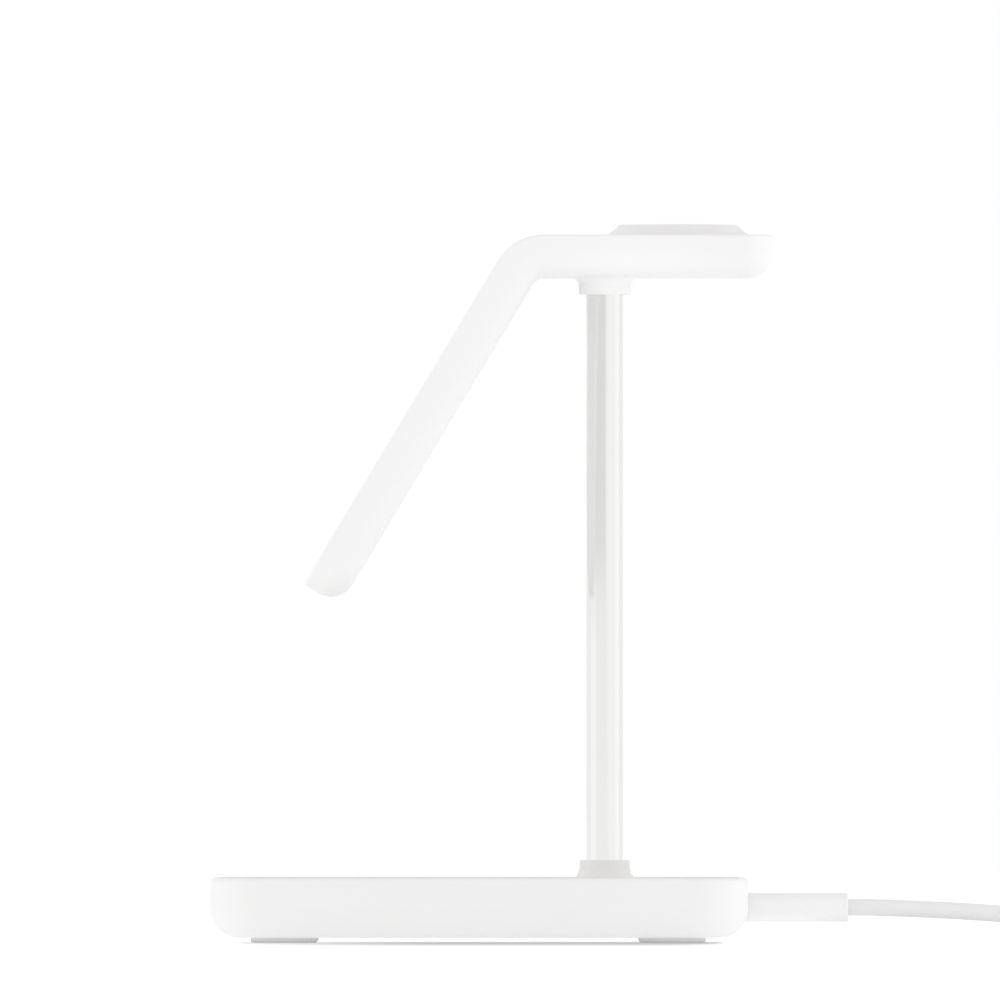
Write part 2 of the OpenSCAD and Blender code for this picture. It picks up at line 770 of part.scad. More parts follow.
base_housing();
base_deck();
earbud_pad();
earbud_coil();
earbud_ferrite();
ballast_plate();
base_circuit_board();
power_socket();
socket_tongue();
rubber_feet();
base_screws();
board_screws();
post();
post_collar();
post_flange();
flange_screws();
post_wires();
head_shell();
head_cover();
head_bracket();
bracket_screws();
head_circuit_board();
phone_pad();
phone_magnets();
phone_coil();
phone_ferrite();
phone_backing();
watch_puck();
watch_coil();
watch_magnet();
watch_ferrite();
watch_backing();
plug_body();
plug_tip();
cord_lead();
cord_coil();
cord_tail();
coil_tie();
far_plug_body();
far_plug_tip();
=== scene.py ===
import math

import bpy
import numpy as np
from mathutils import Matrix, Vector


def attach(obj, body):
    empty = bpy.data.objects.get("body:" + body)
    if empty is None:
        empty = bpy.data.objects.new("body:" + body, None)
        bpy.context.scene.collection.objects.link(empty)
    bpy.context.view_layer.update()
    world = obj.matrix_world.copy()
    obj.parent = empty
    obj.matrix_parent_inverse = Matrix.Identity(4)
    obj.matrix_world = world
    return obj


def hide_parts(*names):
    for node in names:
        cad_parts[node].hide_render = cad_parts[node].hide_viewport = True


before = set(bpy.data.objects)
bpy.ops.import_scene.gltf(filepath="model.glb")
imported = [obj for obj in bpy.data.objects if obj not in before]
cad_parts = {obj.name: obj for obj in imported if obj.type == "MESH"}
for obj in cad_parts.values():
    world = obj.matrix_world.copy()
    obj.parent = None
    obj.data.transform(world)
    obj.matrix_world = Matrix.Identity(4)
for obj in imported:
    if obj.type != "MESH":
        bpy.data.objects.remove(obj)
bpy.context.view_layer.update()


# --- Camera ---------------------------------------------------------------------------
# A long lens from far off, almost level, so that the charger is seen square on from its
# side, with its front to the left and hardly any perspective. The width seen is that at
# the head's near side. Lengths are in metres, the sensor and lens in millimetres.
SEEN_WIDTH = 0.240
SENSOR = 36.0
LENS = 1400.0
EYE_HEIGHT = 0.055
NEAR_SIDE = 0.033
AIM = Vector((0.00198, 0.0, 0.10644))

camera = bpy.data.objects.new("camera", bpy.data.cameras.new("camera"))
bpy.context.scene.collection.objects.link(camera)
camera.data.sensor_width = SENSOR
camera.data.lens = LENS
away = SEEN_WIDTH * LENS / SENSOR + NEAR_SIDE
camera.location = (AIM.x, -away, EYE_HEIGHT)
camera.rotation_euler = (AIM - camera.location).to_track_quat("-Z", "Y").to_euler()
camera.data.clip_start = 0.1
camera.data.clip_end = 60.0
bpy.context.scene.camera = camera
bpy.context.scene.view_settings.view_transform = "Standard"


# --- Cord and its strap ---------------------------------------------------------------
# A round white cord, 4 mm thick with a smooth soft jacket. It leaves the plug in the
# base's socket and lies down on the table. What isn't in the picture is wound up in
# two layers of turns, and a light grey hook and loop strap holds them.
CORD = 0.0040
CORD_STEP, CORD_SIDES = 0.0012, 20
TURN_PITCH = 0.00405
COIL_CENTRE = np.array([0.166, 0.0321])
OUTER_TURN = 0.0321
LOW_TURN = 0.00205
# The cord's travel round the coil, in degrees: where it shifts inwards by a turn, climbs to
# the upper layer and shifts outwards, how long each shift takes, and where it leaves.
INWARD = (250.0, 610.0, 970.0, 1330.0)
CLIMB = 1620.0
OUTWARD = (1910.0, 2270.0, 2630.0, 2990.0)
SHIFT = 60.0
LEAVES = 3250.0
# The strap, and the degrees from it over which the turns lie on it and come down again.
STRAP_THICK = 0.0005
STRAP_WIDE = 0.007
STRAP_OVERLAP = 0.0095
STRAP_CORNER = 0.0022
STRAP_LEVEL = 14.0
STRAP_RISE = 40.0

# The middle line of the two stretches that aren't wound up, in millimetres.
lead_points = np.array([
    [85.8, 0, 8.35], [90, 0, 8.35], [95, 0, 8.22], [100, 0, 8.02], [105, 0, 7.82],
    [110, 0, 7.58], [116, 0, 7.22], [122, 0, 6.82], [128, 0, 6.3], [134, 0, 5.6],
    [140, 0, 4.75], [146, 0, 3.8], [152, 0, 2.9], [158, 0, 2.25],
]) / 1000
tail_points = np.array([
    [175.5, 1.2, 6.1], [179.5, 1.9, 6], [183.4, 2.6, 5.7], [187.2, 3.7, 5.2], [190.9, 5.3, 4.5],
    [194.3, 7.3, 3.8], [197.4, 9.8, 3.1], [200.2, 12.7, 2.6], [202.6, 15.9, 2.3], [204.5, 19.4, 2.2],
    [205.9, 23.1, 2.3], [206.8, 27, 2.6], [207.2, 31, 3], [207.2, 34, 3.45], [207.2, 37, 3.45],
]) / 1000


def ease(x):
    """From 0 to 1 with level ends: 3 x^2 - 2 x^3, with x held between 0 and 1."""
    x = np.clip(x, 0.0, 1.0)
    return x * x * (3 - 2 * x)


def coiled_turns(step=4.0):
    """The wound part of the cord, a point every few degrees of its travel.

    The turn's radius steps in by one pitch in each inward window, and out by one in
    each outward window. The height steps up by one pitch where the cord climbs, and by the
    strap's thickness where a turn passes over the strap."""
    travel = np.arange(0.0, LEAVES + step / 2, step)
    inward = sum(ease((travel - at) / SHIFT) for at in INWARD)
    outward = sum(ease((travel - at) / SHIFT) for at in OUTWARD)
    radius = OUTER_TURN - TURN_PITCH * (inward - outward)
    height = LOW_TURN + TURN_PITCH * ease((travel - CLIMB) / SHIFT)
    from_strap = np.abs((travel + 90.0) % 360.0 - 180.0)
    height += STRAP_THICK * ease(1 + (STRAP_LEVEL - from_strap) / STRAP_RISE)
    angle = np.radians(travel - 90.0)
    return np.stack([
        COIL_CENTRE[0] + radius * np.cos(angle),
        COIL_CENTRE[1] + radius * np.sin(angle),
        height,
    ], axis=1)


def through(points, step):
    """A smooth curve through the points, cut into even steps of about that length.

    Between two points it is the cubic that leaves and arrives in the directions that
    their neighbours give: (2t^3-3t^2+1) p0 + (t^3-2t^2+t) m0 + (3t^2-2t^3) p1 + (t^3-t^2) m1.
    A second pass through its own points makes the steps even."""
    for _ in range(2):
        run = np.concatenate([[0.0], np.cumsum(np.linalg.norm(np.diff(points, axis=0), axis=1))])
        slope = np.gradient(points, run, axis=0)
        count = int(run[-1] / step) + 1
        at = np.linspace(0.0, run[-1], count)
        i = np.clip(np.searchsorted(run, at, side="right") - 1, 0, len(run) - 2)
        span = (run[i + 1] - run[i])[:, None]
        t = ((at - run[i]) / span[:, 0])[:, None]
        points = ((2 * t**3 - 3 * t**2 + 1) * points[i] + (t**3 - 2 * t**2 + t) * span * slope[i]
                  + (3 * t**2 - 2 * t**3) * points[i + 1] + (t**3 - t**2) * span * slope[i + 1])
    return points


def tube(path, radius, around):
    """Rings of points round a path: centre + radius (cos a * side + sin a * up).

    side is level and square to the path, up is square to both, so the rings don't turn."""
    along = np.gradient(path, axis=0)
    along /= np.linalg.norm(along, axis=1, keepdims=True)
    side = np.cross([0.0, 0.0, 1.0], along)
    side /= np.linalg.norm(side, axis=1, keepdims=True)
    up = np.cross(along, side)
    a = np.linspace(0.0, 2 * np.pi, around, endpoint=False)[None, :, None]
    return path[:, None] + radius * (np.cos(a) * side[:, None] + np.sin(a) * up[:, None])


def surface(name, *grids, closed=True, ends=True, looped=False):
    """A smooth-shaded mesh over grids of points [u, v], a four-sided face to each square.

    closed joins each grid's last column to its first, looped its last row to its first, and
    ends puts a face over the first and the last row. Several grids make one mesh of several
    shells."""
    faces, first = [], 0
    for grid in grids:
        rows, columns = grid.shape[:2]
        at = first + np.arange(rows * columns).reshape(rows, columns)
        if ends:
            faces += [at[0, ::-1].tolist(), at[-1].tolist()]
        if closed:
            at = np.hstack([at, at[:, :1]])
        if looped:
            at = np.vstack([at, at[:1]])
        squares = np.stack([at[:-1, :-1], at[:-1, 1:], at[1:, 1:], at[1:, :-1]], -1)
        faces += squares.reshape(-1, 4).tolist()
        first += rows * columns
    mesh = bpy.data.meshes.new(name)
    mesh.from_pydata(np.concatenate([grid.reshape(-1, 3) for grid in grids]).tolist(), [], faces)
    mesh.shade_smooth()
    mesh.set_sharp_from_angle(angle=math.radians(50))
    mesh.validate()
    piece = bpy.data.objects.new(name, mesh)
    bpy.context.scene.collection.objects.link(piece)
    return piece


class Amount:
    """A value or colour that varies over a surface. Sums on values are written as in Python."""

    def __init__(self, network, socket):
        self.network, self.socket = network, socket

    def sum(self, operation, first, second):
        return self.network.node("Math", {"operation": operation}, {0: first, 1: second})

    def __add__(self, other):
        return self.sum("ADD", self, other)

    def __sub__(self, other):
        return self.sum("SUBTRACT", self, other)

    def __rsub__(self, other):
        return self.sum("SUBTRACT", other, self)

    def __mul__(self, other):
        return self.sum("MULTIPLY", self, other)

    __radd__, __rmul__ = __add__, __mul__


class Network:
    """The nodes of one material, or of the room's light."""

    def __init__(self, tree):
        self.tree = tree

    def join(self, socket, value):
        """Sets a socket to a number or colour, or joins an amount to it."""
        if isinstance(value, Amount):
            self.tree.links.new(value.socket, socket)
        elif hasattr(value, "__len__") and socket.type == "RGBA":
            socket.default_value = (*value[:3], 1.0)
        else:
            socket.default_value = value

    def node(self, kind, settings, sockets, out=0):
        """Adds any node: its kind, settings, sockets' values or links, and the output wanted."""
        made = self.tree.nodes.new("ShaderNode" + kind)
        for key, value in settings.items():
            setattr(made, key, value)
        for key, value in sockets.items():
            self.join(made.inputs[key], value)
        return Amount(self, made.outputs[out])

    def between(self, amount, low, high):
        """low where the amount is 0, high where it is 1."""
        return low + amount * (high - low)


class Finish(Network):
    """One material as it is put together: the piece's own place, and its shader's inputs."""

    def __init__(self, name, **inputs):
        self.material = bpy.data.materials.new(name)
        self.material.use_nodes = True
        super().__init__(self.material.node_tree)
        self.shader = self.tree.nodes["Principled BSDF"]
        self.place = self.node("TexCoord", {}, {}, "Object")
        for socket, value in inputs.items():
            self.set(socket.replace("_", " "), value)

    def set(self, socket, value):
        self.join(self.shader.inputs[socket], value)

    def noise(self, grain, stretch=(1, 1, 1), detail=2.0, rough=0.5):
        """Cloudy values from 0 to 1, with lumps of about the given size in metres."""
        at = self.node("Mapping", {}, {"Vector": self.place, "Scale": stretch})
        return self.node("TexNoise", {}, {"Vector": at, "Scale": 1 / grain, "Detail": detail,
                                          "Roughness": rough})

    def blend(self, amount, first, second):
        """The first colour where the amount is 0, the second where it is 1."""
        return self.node("Mix", {"data_type": "RGBA"}, {0: amount, 6: first, 7: second}, 2)

    def bump(self, height, depth, under=None):
        """Raises the surface by depth metres where height is 1, on top of another bump."""
        sockets = {"Height": height, "Distance": depth, "Strength": 1.0}
        if under is not None:
            sockets["Normal"] = under
        return self.node("Bump", {}, sockets)


def soft_jacket():
    """The cord's extruded jacket: satin, faintly mottled, with a fine grain along it."""
    made = Finish("soft_jacket", Specular_IOR_Level=0.4)
    mottle = made.noise(0.006, detail=3.0)
    grain = made.noise(0.00025)
    made.set("Base Color", made.blend(mottle, (0.83, 0.83, 0.825), (0.86, 0.86, 0.855)))
    made.set("Roughness", made.between(mottle, 0.42, 0.56))
    made.set("Normal", made.bump(grain, 0.000012))
    return made.material


def strap_band(clear=0.00003, step=0.0004, edge=0.0002, lift=0.003):
    """A band laid round the coil's turns, with its end pressed down on its own start.

    Its middle line is centre + distance * (cos b, sin b) in the upright plane (x, z): the
    centre goes from one corner turn to the next while b stands still, and b turns while the
    centre stands still. At d from either end the half width is W - R + sqrt(R^2 - (R - d)^2),
    with R the radius of its corners. Across, the band is a bar with four rounded edges."""
    low, high = LOW_TURN + STRAP_THICK, LOW_TURN + TURN_PITCH + STRAP_THICK
    inner, outer, last = (COIL_CENTRE[0] + OUTER_TURN - TURN_PITCH * n for n in (4, 0, 1))
    corners = np.array([[inner, high], [inner, low], [outer, low], [last, high]])
    centres = corners[[3, 0, 0, 1, 1, 2, 2, 3, 3, 3]]
    centres[-1, 0] -= STRAP_OVERLAP
    bearings = np.radians([90, 90, 180, 180, 270, 270, 405, 405, 450, 450])
    distance = CORD / 2 + clear + STRAP_THICK / 2
    spans = np.linalg.norm(np.diff(centres, axis=0), axis=1) + distance * np.diff(bearings)
    knots = np.concatenate([[0.0], np.cumsum(spans)])
    total = knots[-1]
    end = STRAP_CORNER * (1 - np.cos(np.linspace(0.08, np.pi / 2, 8)))
    between = np.arange(STRAP_CORNER + step, total - STRAP_CORNER, step)
    at = np.concatenate([end, between, total - end[::-1]])
    b = np.interp(at, knots, bearings)
    lifted = ease((at - total + STRAP_OVERLAP + lift) / lift)
    distance = distance + (STRAP_THICK + clear) * lifted
    outward = np.stack([np.cos(b), 0 * b, np.sin(b)], -1)
    line = np.stack([np.interp(at, knots, centres[:, 0]), 0 * at + COIL_CENTRE[1],
                     np.interp(at, knots, centres[:, 1])], -1) + distance[:, None] * outward
    from_end = np.minimum(np.minimum(at, total - at), STRAP_CORNER)
    half = STRAP_WIDE / 2 - STRAP_CORNER + np.sqrt(STRAP_CORNER**2 - (STRAP_CORNER - from_end)**2)
    round_edge = np.radians([0, 30, 60, 90, 90, 120, 150, 180,
                             180, 210, 240, 270, 270, 300, 330, 360])
    thick = np.repeat([1, -1, -1, 1], 4) * (STRAP_THICK / 2 - edge) + edge * np.cos(round_edge)
    across = np.repeat([1, 1, -1, -1], 4) * (half[:, None] - edge) + edge * np.sin(round_edge)
    return (line[:, None] + thick[None, :, None] * outward[:, None]
            + across[..., None] * np.array([0.0, 1.0, 0.0]))


def woven_strap():
    """The strap's cloth: fuzzy with tiny loops between two smooth woven edges."""
    made = Finish("woven_strap", Specular_IOR_Level=0.25, Sheen_Weight=0.25, Sheen_Roughness=0.5)
    loops = made.noise(0.00022, detail=3.0, rough=0.7)
    cloud = made.noise(0.004)
    side = made.node("SeparateXYZ", {}, {"Vector": made.place}, 1)
    off = made.node("Math", {"operation": "ABSOLUTE"}, {0: side - COIL_CENTRE[1]})
    border = made.node("MapRange", {}, {"Value": off, "From Min": 0.0026, "From Max": 0.0028,
                                        "To Min": 0.0, "To Max": 1.0})
    cloth = made.blend(loops, (0.60, 0.595, 0.59), (0.80, 0.793, 0.787))
    made.set("Base Color", made.blend(border, cloth, (0.74, 0.735, 0.73)))
    made.set("Roughness", made.between(cloud, 0.8, 0.92))
    made.set("Normal", made.bump(loops * (1 - 0.8 * border), 0.00018))
    return made.material


cord_path = through(np.vstack([lead_points, coiled_turns(), tail_points]), CORD_STEP)
cord = surface("cord", tube(cord_path, CORD / 2, CORD_SIDES))
cord.data.materials.append(soft_jacket())
strap = surface("strap", strap_band())
strap.data.materials.append(woven_strap())

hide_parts("coil_tie")
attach(strap, "root")
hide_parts("cord_lead", "cord_coil", "cord_tail")
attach(cord, "root")


# --- Casing, deck and head ------------------------------------------------------------
# The base's tub, its deck and the head's bent back are moulded in white plastic with
# a fine spark-eroded grain. The head's front and top are coated to a softer feel.
def moulded_white(name, colour, rough):
    """White moulding: a little cloudy, finely grained, and faintly uneven from its cooling."""
    made = Finish(name, Specular_IOR_Level=0.45)
    cloud = made.noise(0.018, detail=3.0)
    grain = made.noise(0.00032, detail=3.0)
    made.set("Base Color", made.blend(cloud, colour, tuple(c * 0.985 for c in colour)))
    made.set("Roughness", made.between(made.noise(0.004), rough - 0.05, rough + 0.05))
    sunk = made.bump(cloud, 0.00003)
    made.set("Normal", made.bump(grain, 0.00001, sunk))
    return made.material


def finish_nodes(material, *names):
    """Gives the named CAD nodes that finish."""
    for name in names:
        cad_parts[name].material_slots[0].material = material


finish_nodes(moulded_white("base_white", (0.885, 0.885, 0.882), 0.42), "base_housing", "base_deck")
finish_nodes(moulded_white("head_white", (0.908, 0.908, 0.906), 0.42), "head_shell")
# The coating's greyer white is partly its own tone and partly painted shade darkening the head's
# top.
finish_nodes(moulded_white("coated_white", (0.80, 0.80, 0.797), 0.55), "head_cover")
finish_nodes(moulded_white("plug_white", (0.90, 0.90, 0.897), 0.4), "plug_body", "far_plug_body")


# --- Pads, puck and collar ------------------------------------------------------------
# Light grey silicone, matt and a little warm: the round pad for the phone, the dished
# inlay for the earbud case, the watch puck and the post's collar, each moulded to shape
# and pressed or glued into its seat. The phone's pad lies square to PANEL_OUT.
PHONE_FACE = np.array([-0.026681, 0.0, 0.116941])
PANEL_OUT = np.array([-0.857167, 0.0, 0.515038])
PHONE_ACROSS = 0.056
PHONE_THICK = 0.001
PHONE_SWELL = 0.0001
INLAY_MIDDLE = -0.027
INLAY_HALF = np.array([0.035, 0.036])
INLAY_CORNER = 0.012
INLAY_LOW, INLAY_TOP = 0.0141, 0.01505
INLAY_EDGE = 0.0003
DISH_ACROSS, DISH_DEEP, DISH_RIM = 0.038, 0.00045, 0.00003
POST_PLACE = np.array([0.0272, 0.0, 0.0])
COLLAR_BORE, COLLAR_RADIUS, COLLAR_FLARE, COLLAR_EDGE = 0.0045, 0.006, 0.0035, 0.0003
SPIGOT_RADIUS = 0.0059
SPIGOT_LOW, DECK_TOP, LIP_TOP, FLARE_TOP, COLLAR_TOP = 0.012, 0.0151, 0.0152, 0.0182, 0.0197


def turned(radius, height, around=96):
    """A profile turned about the upright axis: (r cos a, r sin a, h), from its underside's
    middle outwards, up and back to the middle."""
    a = np.linspace(0.0, 2 * np.pi, around, endpoint=False)
    return np.stack([radius[:, None] * np.cos(a), radius[:, None] * np.sin(a),
                     height[:, None] + 0 * a], -1)


def disc(radius, low, high, low_edge, high_edge, rows=24):
    """The profile of a flat disc with two rounded edges: radius and height of its points.

    Each edge is the arc (R - e + e sin b, low + e - e cos b), and its mirror image above."""
    b = np.linspace(0.0, np.pi / 2, 7)
    flat = np.linspace(0.01, 1.0, rows)
    r = np.concatenate([flat[:-1] * (radius - low_edge), radius - low_edge * (1 - np.sin(b)),
                        radius - high_edge * (1 - np.cos(b)), flat[-2::-1] * (radius - high_edge)])
    h = np.concatenate([0 * flat[:-1] + low, low + low_edge * (1 - np.cos(b)),
                        high - high_edge * (1 - np.sin(b)), 0 * flat[:-1] + high])
    return r, h


def phone_disc():
    """The phone's pad: a disc tilted as the panel, whose face swells by s (1 - (r / R)^2)."""
    r, h = disc(PHONE_ACROSS / 2, PHONE_SWELL - PHONE_THICK, 0.0, 0.0001, 0.0004)
    swell = np.where(h > -PHONE_SWELL, PHONE_SWELL * (1 - (2 * r / PHONE_ACROSS)**2), 0.0)
    flat = turned(r, h - PHONE_SWELL + swell)
    across = np.array([0.0, 1.0, 0.0])
    return PHONE_FACE + flat @ np.stack([across, np.cross(PANEL_OUT, across), PANEL_OUT])


def inlay():
    """The earbud case's inlay: a plate with round corners and edges and a shallow round dish.

    With d = DEEP * (1 - (2 r / ACROSS)^2) its face is at TOP - (d + sqrt(d^2 + RIM^2)) / 2,
    which is the dish within its rim and level outside it. The rows go from the middle of the
    underside outwards, up the wall and back to the middle of the face."""
    b = np.linspace(0.0, np.pi / 2, 9)
    turn = np.concatenate([b, b + np.pi / 2, b + np.pi, b + 3 * np.pi / 2])
    towards = np.stack([np.cos(turn), np.sin(turn)], -1)
    corner = np.repeat([[1, 1], [-1, 1], [-1, -1], [1, -1]], len(b), axis=0)
    corner = corner * (INLAY_HALF - INLAY_CORNER)
    bend = np.linspace(0.0, np.pi / 2, 6)
    inset = np.concatenate([[0.0, 0.0], INLAY_EDGE * (1 - np.cos(bend))])
    height = np.concatenate([[INLAY_LOW, INLAY_TOP - 2 * INLAY_EDGE],
                             INLAY_TOP - INLAY_EDGE * (1 - np.sin(bend))])
    wall = np.concatenate([corner + (INLAY_CORNER - inset[:, None, None]) * towards,
                           height[:, None, None] + 0 * corner[None, :, :1]], -1)
    scale = np.linspace(1.0, 0.01, 64)[1:, None, None]
    face = scale * wall[-1, :, :2]
    d = DISH_DEEP * (1 - (2 * np.linalg.norm(face, axis=-1, keepdims=True) / DISH_ACROSS)**2)
    face = np.concatenate([face, INLAY_TOP - (d + np.sqrt(d * d + DISH_RIM**2)) / 2], -1)
    floor = np.concatenate([scale[::-1] * wall[0, :, :2], INLAY_LOW + 0 * face[..., 2:]], -1)
    return np.concatenate([floor, wall, face]) + np.array([INLAY_MIDDLE, 0.0, 0.0])


def collar():
    """The post's collar: a ring whose foot flares out to a thin lip, with a spigot below it.

    The flare is the arc (R + F - F cos c, top of flare - F sin c), the upper edge
    (R - e + e cos b, top - e + e sin b)."""
    c = np.linspace(math.asin((FLARE_TOP - LIP_TOP) / COLLAR_FLARE), 0.0, 14)
    b = np.linspace(0.0, np.pi / 2, 8)
    flare = COLLAR_RADIUS + COLLAR_FLARE * (1 - np.cos(c))
    r = np.concatenate([[COLLAR_BORE, SPIGOT_RADIUS, SPIGOT_RADIUS, flare[0]], flare,
                        COLLAR_RADIUS - COLLAR_EDGE * (1 - np.cos(b)), [COLLAR_BORE]])
    h = np.concatenate([[SPIGOT_LOW, SPIGOT_LOW, DECK_TOP, DECK_TOP],
                        FLARE_TOP - COLLAR_FLARE * np.sin(c),
                        COLLAR_TOP - COLLAR_EDGE * (1 - np.sin(b)), [COLLAR_TOP]])
    return POST_PLACE + turned(r, h)


def silicone(name, colour):
    """Light grey silicone: matt, with a velvet sheen and a very fine tooth."""
    made = Finish(name, Specular_IOR_Level=0.35, Sheen_Weight=0.08, Sheen_Roughness=0.4)
    cloud = made.noise(0.007, detail=3.0)
    tooth = made.noise(0.00018)
    made.set("Base Color", made.blend(cloud, colour, tuple(c * 0.97 for c in colour)))
    made.set("Roughness", made.between(cloud, 0.56, 0.68))
    made.set("Normal", made.bump(tooth, 0.00001))
    return made.material


soft_silicone = silicone("soft_silicone", (0.815, 0.798, 0.79))
for piece, node in ((surface("phone_disc", phone_disc()), "phone_pad"),
                    (surface("inlay", inlay()), "earbud_pad"),
                    (surface("collar", collar(), ends=False, looped=True), "post_collar")):
    piece.data.materials.append(soft_silicone)
    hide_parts(node)
    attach(piece, "root")
finish_nodes(silicone("puck_silicone", (0.885, 0.867, 0.872)), "watch_puck")


# --- Feet -----------------------------------------------------------------------------
# Four round grey rubber feet, 16 mm across, stuck into shallow recesses in the underside.
# Rings moulded into their soles keep them from sliding.
FOOT_ACROSS = 0.016
FOOT_TALL = 0.002
FOOT_EDGE = 0.0005
RING_DEEP, RING_PITCH, RINGS_REACH, RINGS_END = 0.00015, 0.0015, 0.0053, 0.0006
FOOT_PLACES = np.array([[x, y, 0.0] for x in (-0.04985, 0.04335) for y in (-0.028, 0.028)])


def foot():
    """A rounded disc with rings in its sole, DEEP * (1 + cos(2 pi r / PITCH)) / 2 deep, which
    fade out beyond their reach."""
    r, h = disc(FOOT_ACROSS / 2, 0.0, FOOT_TALL, FOOT_EDGE, 0.0001, rows=60)
    rings = RING_DEEP * (0.5 + 0.5 * np.cos(2 * np.pi * r / RING_PITCH))
    rings = rings * (1 - ease((r - RINGS_REACH) / RINGS_END))
    return turned(r, np.where(h < FOOT_EDGE, h + rings, h), around=64)


def foot_rubber():
    """Grey rubber: matt, dusty in patches, with painted shade darkening it towards the table."""
    made = Finish("foot_rubber", Specular_IOR_Level=0.3)
    dust = made.noise(0.003, detail=4.0)
    # Painted shade: the rubber is much darker in its lowest 1.2 mm, next to the table, than higher
    # up.
    high = made.node("SeparateXYZ", {}, {"Vector": made.place}, 2)
    above_painted_shade = made.node("MapRange", {}, {"Value": high, "From Max": 0.0012,
                                       "To Min": 0.0, "To Max": 1.0})
    dusty_shaded_low = made.blend(dust, (0.48, 0.48, 0.48), (0.54, 0.54, 0.54))
    made.set("Base Color", made.blend(above_painted_shade, dusty_shaded_low, (0.88, 0.88, 0.88)))
    made.set("Roughness", made.between(dust, 0.75, 0.9))
    made.set("Normal", made.bump(made.noise(0.0003), 0.00003))
    return made.material


feet = surface("feet", *(foot() + place for place in FOOT_PLACES))
feet.data.materials.append(foot_rubber())
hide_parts("rubber_feet")
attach(feet, "root")


# --- Post -----------------------------------------------------------------------------
# A drawn metal tube, polished along its length and plated, so that it mirrors the studio
# in long upright bands.
def polished_tube():
    """Plated tube: a mirror with very fine lines along it and the faintest warm cast."""
    made = Finish("polished_tube", Metallic=1.0)
    lines = made.noise(0.0004, stretch=(1, 1, 0.02))
    cloud = made.noise(0.01)
    made.set("Base Color", made.blend(cloud, (0.82, 0.82, 0.805), (0.85, 0.85, 0.835)))
    made.set("Roughness", made.between(lines, 0.06, 0.13))
    made.set("Normal", made.bump(lines, 0.000001))
    return made.material


finish_nodes(polished_tube(), "post")


# --- Metal inside ---------------------------------------------------------------------
# Pressed and turned steel: the plug tips, the socket, plates, flange, bracket and screws,
# and the plated magnets.
def turned_steel(name, colour, rough):
    """Plain steel: metal with fine tool marks and a little staining."""
    made = Finish(name, Metallic=1.0)
    marks = made.noise(0.0006, stretch=(1, 0.15, 1), detail=3.0)
    stain = made.noise(0.006, detail=3.0)
    made.set("Base Color", made.blend(stain, colour, tuple(c * 0.9 for c in colour)))
    made.set("Roughness", made.between(marks, rough - 0.06, rough + 0.08))
    made.set("Normal", made.bump(marks, 0.000004))
    return made.material


finish_nodes(turned_steel("pressed_steel", (0.72, 0.73, 0.74), 0.3), "plug_tip", "far_plug_tip",
             "power_socket", "ballast_plate", "post_flange", "head_bracket", "base_screws",
             "board_screws", "flange_screws", "bracket_screws", "phone_backing", "watch_backing")
finish_nodes(turned_steel("plated_magnet", (0.66, 0.67, 0.68), 0.22),
             "phone_magnets", "watch_magnet")


# --- Windings, ferrites, boards and wires ---------------------------------------------
# What the casing hides: enamelled copper windings on ferrite plates, two circuit boards,
# the socket's tongue and the sleeved wires in the post.
def copper_wire():
    """Enamelled copper: warm metal under a clear coat."""
    made = Finish("copper_wire", Metallic=1.0, Coat_Weight=0.6, Coat_Roughness=0.15)
    cloud = made.noise(0.002, detail=3.0)
    made.set("Base Color", made.blend(cloud, (0.62, 0.27, 0.12), (0.74, 0.38, 0.19)))
    made.set("Roughness", made.between(cloud, 0.22, 0.36))
    return made.material


def dark_plate(name, colour, rough):
    """A dull dark part: ferrite, black plastic or a wire's sleeve."""
    made = Finish(name, Specular_IOR_Level=0.4)
    cloud = made.noise(0.002, detail=4.0)
    made.set("Base Color", made.blend(cloud, colour, tuple(c * 1.35 for c in colour)))
    made.set("Roughness", made.between(cloud, rough - 0.08, rough + 0.08))
    made.set("Normal", made.bump(made.noise(0.0004), 0.00001))
    return made.material


def circuit_board():
    """Green lacquered board with paler tracks under the lacquer."""
    made = Finish("circuit_board", Specular_IOR_Level=0.6, Coat_Roughness=0.2)
    tracks = made.node("TexBrick", {"offset": 0.5}, {"Vector": made.place, "Scale": 300.0,
                       "Mortar Size": 0.06, "Color1": (0, 0, 0), "Color2": (0, 0, 0),
                       "Mortar": (1, 1, 1)}, 1)
    made.set("Base Color", made.blend(tracks, (0.02, 0.10, 0.05), (0.05, 0.20, 0.10)))
    made.set("Roughness", made.between(made.noise(0.003), 0.25, 0.4))
    made.set("Normal", made.bump(tracks, 0.00002))
    return made.material


finish_nodes(copper_wire(), "earbud_coil", "phone_coil", "watch_coil")
finish_nodes(dark_plate("ferrite", (0.045, 0.045, 0.05), 0.6), "earbud_ferrite", "phone_ferrite",
             "watch_ferrite")
finish_nodes(dark_plate("black_plastic", (0.03, 0.03, 0.033), 0.45), "socket_tongue", "post_wires")
finish_nodes(circuit_board(), "base_circuit_board", "head_circuit_board")


# --- Table ----------------------------------------------------------------------------
# A white table that runs out of sight, mostly glowing from within so that it is plain white,
# with soft painted shadows laid into its glow. The light that its glow lends the charger from
# below is painted light too, and is set apart from what the camera sees of it.
TABLE_REACH = 4.0
# Its own tone, how bright the room's light alone makes it, and how bright it is seen.
TABLE_TONE, TABLE_LIT = 0.30, 0.27
TABLE_SEEN, TABLE_SEEN_FAR = 0.87, 0.77
# The base's flat underside, and how much darker the painted shadows make the table.
BASE_MIDDLE, BASE_FLAT = -0.003, 0.0565
SHADE, SHADE_LESS_IN_FRONT, COIL_SHADE = 0.70, 0.42, 0.3
# The light that the table's glow lends, how much more it lends beside the charger's two
# ends, and how much less under the base and the lead, as painted shade there.
LENT, LENT_RIGHT, LENT_LEFT, BESIDE = 0.95, 0.14, 0.08, 0.15
UNDER_BASE, UNDER_LEAD, LEAD_MIDDLE = 0.1, 0.3, 0.13


